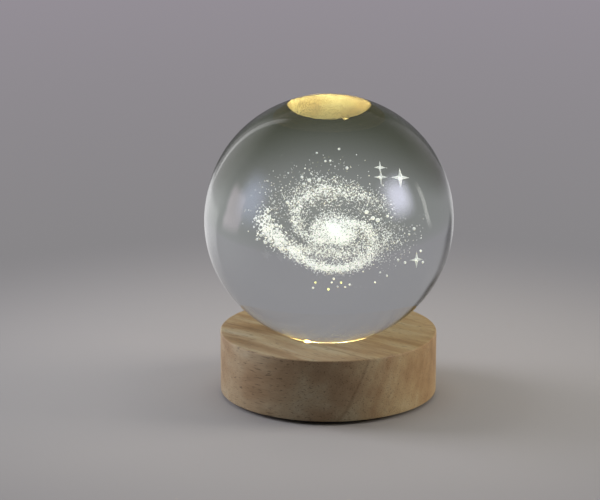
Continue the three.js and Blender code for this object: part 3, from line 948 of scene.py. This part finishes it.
    def heart(self) -> np.ndarray:
        """Packs the dense core, drawn out towards the lower right.

        Returns:
            The grains' places on the disc, one row each.
        """
        count = self.core_grains
        angle = self.random.uniform(-math.pi, math.pi, count)
        radius = self.core_reach * self.random.uniform(size=count) ** self.core_power
        radius += self.random.normal(0, self.core_blur, count)
        cloud = self.rows(radius, angle, self.random.normal(0, self.core_height, count))
        heart = self.random.normal(0, 1, (self.heart_grains, 3)) * np.array(self.heart_size)
        tail = self.random.normal(0, 1, (self.tail_grains, 3)) * np.array(self.tail_size)
        return np.vstack([cloud, heart, tail + np.array(self.tail_offset)]) + np.array(self.core_offset)

    def grains(self, places: np.ndarray, size: float, vary: float, shape: GrainShape) -> Mesh:
        """Builds one small turned grain at each place.

        Args:
            places: The grains' places in the lamp, one row each.
            size: A grain's half width.
            vary: How much the sizes vary, as a share.
            shape: The grain's shape.

        Returns:
            The mesh in metres.
        """
        corners, sides = (np.array(part, float) for part in shape.value)
        count = len(places)
        turns = self.random.normal(size=(count, 4))
        turns /= np.linalg.norm(turns, axis=1)[:, None]
        w, x, y, z = turns.T
        turn = np.array(
            [
                [1 - 2 * (y * y + z * z), 2 * (x * y - z * w), 2 * (x * z + y * w)],
                [2 * (x * y + z * w), 1 - 2 * (x * x + z * z), 2 * (y * z - x * w)],
                [2 * (x * z - y * w), 2 * (y * z + x * w), 1 - 2 * (x * x + y * y)],
            ]
        ).transpose(2, 0, 1)
        scale = size * np.exp(self.random.normal(0, vary, count))
        grains = np.einsum("nij,kj->nki", turn, corners) * scale[:, None, None] + places[:, None, :]
        verts = (grains.reshape(-1, 3) * MM).tolist()
        offsets = np.arange(count)[:, None, None] * len(corners)
        return verts, (sides.astype(int)[None] + offsets).reshape(-1, 3).tolist()

    def bead(self, place: Sequence[float], width: float) -> Mesh:
        """Returns a round star, from its place about the ball's centre and its width."""
        return sphere(self.centre + np.array(place), width / 2, self.bead_sides, self.bead_rings)

    def star(self, place: Sequence[float], half_width: float, half_height: float) -> Mesh:
        """Makes a six-pointed star, which shows four points from any side.

        Args:
            place: Its middle about the ball's centre.
            half_width: How far its level points reach.
            half_height: How far its upright points reach.

        Returns:
            The mesh in metres.
        """
        middle = self.centre + np.array(place)
        waist = self.star_waist * half_width
        verts, sides = block([part + end * waist for part in middle for end in (-1, 1)])
        tips = [row * sign for row in np.diag((half_width, half_width, half_height)) for sign in (-1, 1)]
        faces = []
        for tip, ring in enumerate(sides, len(verts)):
            faces += [(first, second, tip) for first, second in zip(ring, ring[1:] + ring[:1])]
        return verts + [tuple((middle + tip) * MM) for tip in tips], faces

    def build(self) -> None:
        """Adds the engraving's pieces, all inside the ball."""
        lines = (
            (self.near_arm, self.near_grains),
            (self.far_arm, self.far_grains),
            (self.inner_arm, self.inner_grains),
        )
        arms = np.vstack([self.along(arm, count) for arm, count in lines])
        fine = np.vstack([self.thinned(arms), self.fill(), self.dust()])
        coarse = self.along(self.coarse_arm, self.coarse_grains)
        layers = [
            ("galaxy_arms", fine, *self.fine, GrainShape.CHIP, FINE_CRACKS, ("engraved_galaxy",)),
            ("galaxy_core", self.heart(), *self.dense, GrainShape.CHIP, DENSE_CRACKS, ()),
            ("galaxy_rim", self.thinned(coarse), *self.coarse, GrainShape.BEAD, COARSE_CRACKS, ()),
        ]
        for name, places, size, vary, shape, finish, stands_for in layers:
            mesh = self.grains(self.placed(places), size, vary, shape)
            make_object(name, mesh, finish, "ball", stands_for)
            LOG.info("%s: %d grains", name, len(places))
        stars = (
            ("round_stars", self.bead, self.beads, STAR_CRACKS, self.bead_smooth),
            ("painted_diode_glints", self.bead, self.painted_glint_beads, PAINTED_GLINT_CRACKS, self.bead_smooth),
            ("pointed_stars", self.star, self.points, STAR_CRACKS, None),
        )
        for name, make, rows, finish, smooth in stars:
            mesh = joined(make(row[:3], *row[3:]) for row in rows)
            make_object(name, mesh, finish, "ball", smooth=smooth)
            LOG.info("%s: %d stars", name, len(rows))


# Base


@dataclass
class WoodBase:
    """The turned base, with its seat, light well, hollow, socket pocket and plug slot, in millimetres."""

    sides: int = 192
    edge_round: float = 0.5
    edge_steps: int = 6
    well_radius: float = 15.0
    well_depth: float = 10.0
    seat_gap: float = 0.06
    seat_steps: int = 4
    hollow_radius: float = 24.0
    rebate_radius: float = 31.3
    rebate_depth: float = 1.65
    # Low and high X, Y and Z of the room for the socket and of the slot for the plug's body
    pocket: tuple[float, ...] = (-8.9, 8.9, 20.3, 29.6, 1.65, 10.38)
    slot: tuple[float, ...] = (-6.5, 6.5, 29.3, 36.0, 3.75, 11.15)
    # How far below the top the finish with painted lamplight starts, and how far beyond the well it reaches
    lit_drop: float = 0.01
    lit_margin: float = 0.4
    smooth: float = 30.0

    def __post_init__(self) -> None:
        """Reads the base's outer sizes and the ball's place from the CAD nodes."""
        low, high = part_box("wood_base")
        self.bottom: float = low.z / MM
        self.top: float = high.z / MM
        self.radius: float = high.x / MM
        low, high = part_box("crystal_ball")
        self.ball_height: float = (high.z + low.z) / 2 / MM
        self.seat_reach: float = (high.z - low.z) / 2 / MM + self.seat_gap

    def seat(self) -> list[Pair]:
        """Draws the seat's hollow curve, which lies close under the ball.

        Returns:
            Radius and height of its points, from the rim inwards.
        """
        rim = math.sqrt(self.seat_reach**2 - (self.ball_height - self.top) ** 2)
        step = (rim - self.well_radius) / self.seat_steps
        radii = [rim - index * step for index in range(self.seat_steps + 1)]
        return [(radius, self.ball_height - math.sqrt(self.seat_reach**2 - radius**2)) for radius in radii]

    def profile(self) -> list[Pair]:
        """Draws the base's section.

        Returns:
            Radius and height of its corners, from the rebate's rim outwards and round.
        """
        edge = self.edge_round
        rim = self.radius - edge
        roof = self.top - self.well_depth
        ledge = self.bottom + self.rebate_depth
        return [
            *arc((rim, self.bottom + edge), edge, -90, 0, self.edge_steps),
            *arc((rim, self.top - edge), edge, 0, 90, self.edge_steps),
            *self.seat(),
            (self.well_radius, roof),
            (self.hollow_radius, roof),
            (self.hollow_radius, ledge),
            (self.rebate_radius, ledge),
            (self.rebate_radius, self.bottom),
        ]

    def cutter(self, box: Sequence[float]) -> bpy.types.Object:
        """Makes a box that a boolean cuts out of the wood.

        Args:
            box: Its low and high X, Y and Z.

        Returns:
            The box.
        """
        verts, faces = block(box)
        data = bpy.data.meshes.new("cutter")
        data.from_pydata(verts, [], faces)
        return add_object("cutter", data)

    def build(self) -> None:
        """Adds the base in place of its CAD solid."""
        mesh = turned(self.profile(), self.sides)
        base = make_object("beech_base", mesh, BEECH, "base", ("wood_base",))
        for box in (self.pocket, self.slot):
            tool = self.cutter(box)
            cut = base.modifiers.new("cut", "BOOLEAN")
            cut.operation, cut.solver, cut.object = "DIFFERENCE", "EXACT", tool
            shown = base.evaluated_get(bpy.context.evaluated_depsgraph_get())
            data = bpy.data.meshes.new_from_object(shown)
            base.modifiers.clear()
            base.data = data
            bpy.data.objects.remove(tool)
        self._light(base.data)
        shade(base.data, self.smooth)

    def _light(self, data: bpy.types.Mesh) -> None:
        """Gives the well's wall and the seat their finish with painted lamplight.

        Args:
            data: The base's mesh.
        """
        data.materials.append(PAINTED_LAMPLIT_BEECH.material())
        low, high = self.top - self.well_depth, self.top - self.lit_drop
        for face in data.polygons:
            x, y, z = face.center / MM
            if low < z < high and math.hypot(x, y) < self.well_radius + self.lit_margin:
                face.material_index = 1


@dataclass
class LightBoard:
    """The round board under the ball, with its three diodes and their resistors."""

    count: int = 3

    def build(self) -> None:
        """Dresses the board and what stands on it."""
        dress(["led_board"], BOARD_WITH_PAINTED_GLOW)
        sets = {"led": DIODE_SHELL, "led_window": PHOSPHOR, "resistor": CERAMIC, "board_screw": ZINC}
        for kind, finish in sets.items():
            dress([f"{kind}_{number + 1}" for number in range(self.count)], finish)


@dataclass
class PowerInlet:
    """The power socket on its board, and the wires to the light board, in millimetres."""

    contacts: int = 12
    pitch: float = 0.5
    contact_size: Triple = (0.26, 3.4, 0.06)
    contact_inset: float = 0.3
    tongue_thickness: float = 0.7

    def contact_mesh(self) -> Mesh:
        """Makes the contacts, which lie half sunk in the tongue's two faces.

        Returns:
            One mesh in metres.
        """
        low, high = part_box("socket_tongue")
        wide, long, thick = self.contact_size
        far = high.y / MM - self.contact_inset
        blocks = []
        for side in (-1, 1):
            level = (low.z + high.z) / 2 / MM + side * self.tongue_thickness / 2
            for index in range(self.contacts):
                x = (index - (self.contacts - 1) / 2) * self.pitch
                ends = (x - wide / 2, x + wide / 2, far - long, far, level - thick / 2, level + thick / 2)
                blocks.append(block(ends))
        return joined(blocks)

    def build(self) -> None:
        """Dresses the socket's pieces and adds the contacts on its tongue."""
        dress(["socket_board"], GREEN_MASK)
        dress(["socket_shell"], NICKEL)
        dress(["socket_tongue"], BLACK_NYLON)
        make_object("socket_contacts", self.contact_mesh(), GOLD, "base")
        dress(["socket_screw_1", "socket_screw_2"], ZINC)
        dress(["socket_resistor_1", "socket_resistor_2"], CERAMIC)
        dress(["lead_positive"], RED_PVC)
        dress(["lead_negative"], BLACK_PVC)
        for lead in ("positive", "negative"):
            dress([f"solder_{lead}_light", f"solder_{lead}_socket"], TIN)


@dataclass
class Underside:
    """The cover, its screws and the grip pad."""

    screws: int = 3

    def build(self) -> None:
        """Dresses the pieces under the base."""
        dress(["bottom_cover"], FIBREBOARD)
        dress(["grip_pad"], FOAM)
        dress([f"cover_screw_{number + 1}" for number in range(self.screws)], ZINC)


# Studio


@dataclass(frozen=True)
class Softbox:
    """A soft lamp beside the lamp: where it stands, its size in metres, its power in watts and its colour."""

    name: str
    place: Triple
    size: Pair
    power: float
    colour: str


@dataclass(frozen=True)
class Panel:
    """A soft patch of the surroundings, with the tangents of half its width and half its height.

    Polished things mirror one strength of it, and glass shows the other behind itself. A patch of negative
    strength is dark.
    """

    way: Triple
    half_width: float
    half_height: float
    soft: float
    mirrored: float
    behind_glass: float
    colour: str


@dataclass(frozen=True)
class Surroundings:
    """The plain grey surroundings, with soft light and dark panels that only the ball and the metals show."""

    low: str = "#888688"
    high: str = "#958F97"
    ambient: float = 0.05
    centre: Triple = (0.0, 0.0, 0.0579)
    panels: tuple[Panel, ...] = (
        Panel((0.893, -0.271, 0.36), 0.2, 0.2, 0.85, 15.0, 0.0, "#E4E4FA"),
        Panel((-0.886, -0.163, 0.27), 0.21, 0.24, 0.9, 4.8, 0.0, "#CAD6FF"),
        Panel((-0.989, 0.136, 0.066), 0.19, 0.21, 0.35, 2.8, 0.0, "#F2DCEA"),
        Panel((0.975, 0.197, 0.106), 0.04, 0.2, 0.4, 3.2, 0.0, "#F4F4EC"),
        Panel((-0.67, 0.74, -0.33), 0.36, 0.26, 0.16, 0.8, 0.0, "#FFFFFF"),
        Panel((-0.475, 0.8, 0.365), 0.04, 0.42, 0.3, 0.85, 0.0, "#FFFFFF"),
        Panel((-0.7, 0.71, 0.22), 0.32, 0.45, 0.5, 0.48, 0.0, "#FFFFFF"),
        Panel((0.0, 1.0, 0.25), 0.42, 0.38, 0.12, -0.22, 0.0, "#FCF2FF"),
        Panel((0.4, 0.91, -0.22), 0.16, 0.1, 0.6, 0.5, 0.0, "#FFFFFF"),
        Panel((0.62, 0.75, 0.3), 0.3, 0.2, 0.8, 0.15, 0.0, "#FFFFFF"),
        Panel((-0.99, 0.14, 0.404), 0.46, 0.62, 0.25, 0.0, -0.26, "#FCF2FF"),
        Panel((-0.76, 0.3, 0.58), 0.28, 0.28, 0.3, 0.0, -0.24, "#FCF2FF"),
        Panel((0.7, 0.58, -0.41), 0.4, 0.5, 0.8, 0.0, 0.065, "#FFFFFF"),
        Panel((0.65, 0.17, -0.74), 0.25, 0.35, 0.4, 0.0, -0.08, "#FCF2FF"),
        Panel((-0.6, 0.42, -0.68), 0.4, 0.3, 0.8, 0.0, -0.025, "#FCF2FF"),
        Panel((0.0, 0.0001, -1.0), 2.05, 2.05, 0.4, 0.0, -0.23, "#F6F0FF"),
        Panel((0.0, 0.0001, 1.0), 0.62, 0.62, 0.25, 0.0, -0.16, "#F0EEFF"),
    )

    def seen(self, tree: Tree) -> Socket:
        """Tells looks from light.

        Args:
            tree: The world's or the floor's tree.

        Returns:
            1 for rays from the camera, a mirror or glass, and 0 for the light itself.
        """
        path = add_node(tree, "LightPath").node.outputs
        seen = path["Is Camera Ray"]
        for name in ("Is Glossy Ray", "Is Transmission Ray"):
            seen = add_node(tree, "Math", (seen, path[name]), operation="MAXIMUM")
        return seen

    def with_panels(self, tree: Tree, way: Socket, total: Socket | Triple) -> Socket:
        """Adds the soft panels to the plain light of the surroundings.

        Args:
            tree: The world's or the floor's tree.
            way: The direction looked in, as seen from the ball.
            total: The plain light.

        Returns:
            The light with the panels added.
        """
        path = add_node(tree, "LightPath").node.outputs
        through = path["Is Transmission Ray"]
        for panel in self.panels:
            ahead = Vector(panel.way).normalized()
            side = Vector((0, 0, 1)).cross(ahead).normalized()
            forward, across, rise = (
                add_node(tree, "VectorMath", (way, tuple(axis)), "Value", operation="DOT_PRODUCT")
                for axis in (ahead, side, ahead.cross(side))
            )
            share = add_node(tree, "Math", (forward, 0.0), operation="GREATER_THAN")
            for offset, half in ((across, panel.half_width), (rise, panel.half_height)):
                slope = add_node(tree, "Math", (offset, forward), operation="DIVIDE")
                away = add_node(tree, "Math", (slope,), operation="ABSOLUTE")
                edges = (away, half * (1 + panel.soft), half * (1 - panel.soft))
                inside = add_node(tree, "MapRange", edges, interpolation_type="SMOOTHSTEP")
                share = add_node(tree, "Math", (share, inside), operation="MULTIPLY")
            level = add_node(tree, "MapRange", (through, 0.0, 1.0, panel.mirrored, panel.behind_glass))
            for factor in (level, path["Is Glossy Ray"]):
                share = add_node(tree, "Math", (share, factor), operation="MULTIPLY")
            light = {0: linear(panel.colour)[:3], "Scale": share}
            light = add_node(tree, "VectorMath", light, operation="SCALE")
            total = add_node(tree, "VectorMath", (total, light), operation="ADD")
        return total

    def build(self) -> None:
        """Makes them the scene's world."""
        world = bpy.data.worlds.new("studio")
        bpy.context.scene.world = world
        world.use_nodes = True
        tree = world.node_tree
        tree.nodes.clear()
        way = add_node(tree, "TexCoord", output="Generated")
        total = self.with_panels(tree, way, linear(self.high)[:3])
        shown = add_node(tree, "Background", {"Color": total, "Strength": 1.0})
        fill = add_node(tree, "Background", {"Color": (1.0, 1.0, 1.0, 1.0), "Strength": self.ambient})
        both = add_node(tree, "MixShader", (self.seen(tree), fill, shown))
        add_node(tree, "OutputWorld", {"Surface": both})


@dataclass(frozen=True)
class MattPaper(Finish):
    """A wide sheet of matt paper, which fades into the surroundings away from the lamp.

    It gives the eye a pale grey ground without a mark, with the lamp's soft shadow on it. Glass shows the
    surroundings in its place.
    """

    colour: str = "#ABA9A7"
    roughness: float = 0.95
    fade_start: float = 0.07
    fade_end: float = 0.21
    rise_end: float = 0.85
    surroundings: Surroundings = Surroundings()

    def surface(self, tree: Tree) -> Socket:
        """Builds the paper's nodes.

        Args:
            tree: The material's tree.

        Returns:
            The shader.
        """
        around = self.surroundings
        place = add_node(tree, "TexCoord", output="Object")
        radius = add_node(tree, "VectorMath", (place,), "Value", operation="LENGTH")
        edges = (radius, self.fade_start, self.fade_end)
        fade = add_node(tree, "MapRange", edges, interpolation_type="SMOOTHSTEP")
        share = add_node(tree, "Math", (fade, around.seen(tree)), operation="MULTIPLY")
        through = add_node(tree, "LightPath", output="Is Transmission Ray")
        share = add_node(tree, "Math", (share, through), operation="MAXIMUM")
        plain = {"Base Color": linear(self.colour), "Roughness": self.roughness, "Specular IOR Level": 0.0}
        paper = add_node(tree, "BsdfPrincipled", plain)
        rise = add_node(tree, "MapRange", (radius, self.fade_end, self.rise_end))
        colours = {0: rise, 6: linear(around.low), 7: linear(around.high)}
        wall = add_node(tree, "Mix", colours, 2, data_type="RGBA")
        away = add_node(tree, "VectorMath", (place, around.centre), operation="SUBTRACT")
        way = add_node(tree, "VectorMath", (away,), operation="NORMALIZE")
        far = add_node(tree, "Emission", {"Color": around.with_panels(tree, way, wall), "Strength": 1.0})
        return add_node(tree, "MixShader", (share, paper, far))


PAPER = MattPaper("matt_paper_floor")


@dataclass
class Studio:
    """The pale floor, the soft light, the plain surroundings and the camera. Lengths are in metres."""

    floor_half: float = 6.0
    camera_place: Triple = (0.0, -0.8, 0.2636)
    camera_pitch: float = 0.2639
    camera_yaw: float = 0.0115
    camera_reach: Pair = (0.01, 50.0)
    lens: float = 154.62
    aim: Triple = (0.0, 0.0, 0.04)
    softboxes: tuple[Softbox, ...] = (
        Softbox("softbox_left", (-0.59, 0.18, 0.24), (0.3, 0.4), 3.9, "#F6F4FF"),
        Softbox("softbox_right", (0.62, 0.04, 0.24), (0.3, 0.4), 2.75, "#FFF4EA"),
        Softbox("softbox_top", (0.0, 0.12, 0.95), (0.7, 0.7), 4.0, "#FFFFFF"),
    )

    def build(self) -> None:
        """Adds the whole studio and sets the camera."""
        Surroundings().build()
        self._floor()
        for lamp in self.softboxes:
            self._softbox(lamp)
        self._camera()
        bpy.context.scene.view_settings.view_transform = "Standard"

    def _floor(self) -> None:
        """Lays the floor."""
        half = self.floor_half
        data = bpy.data.meshes.new("floor")
        corners = [(x * half, y * half, 0) for x, y in ((-1, -1), (1, -1), (1, 1), (-1, 1))]
        data.from_pydata(corners, [], [(0, 1, 2, 3)])
        data.materials.append(PAPER.material())
        add_object("floor", data)

    def _softbox(self, lamp: Softbox) -> None:
        """Adds one soft lamp, turned to the middle of the object, that nothing mirrors.

        Args:
            lamp: Where it stands and how it shines.
        """
        light = bpy.data.lights.new(lamp.name, "AREA")
        light.shape = "RECTANGLE"
        light.size, light.size_y = lamp.size
        light.energy = lamp.power
        light.color = linear(lamp.colour)[:3]
        holder = add_object(lamp.name, light)
        holder.location = lamp.place
        aim = Vector(self.aim) - Vector(lamp.place)
        holder.rotation_euler = aim.to_track_quat("-Z", "Y").to_euler()
        holder.visible_camera = holder.visible_glossy = holder.visible_transmission = False

    def _camera(self) -> None:
        """Sets the camera where the photograph was taken from."""
        data = bpy.data.cameras.new("camera")
        data.lens = self.lens
        data.clip_start, data.clip_end = self.camera_reach
        camera = add_object("camera", data)
        camera.location = self.camera_place
        camera.rotation_euler = (math.pi / 2 - self.camera_pitch, 0.0, self.camera_yaw)
        bpy.context.scene.camera = camera


def main() -> None:
    """Builds the lamp and its studio."""
    logging.basicConfig(level=logging.INFO, format="%(name)s %(message)s")
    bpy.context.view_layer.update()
    for part in (GlassBall(), Galaxy(), WoodBase(), LightBoard(), PowerInlet(), Underside(), Studio()):
        LOG.info("building %s", type(part).__name__)
        part.build()


if __name__ == "__main__":
    main()
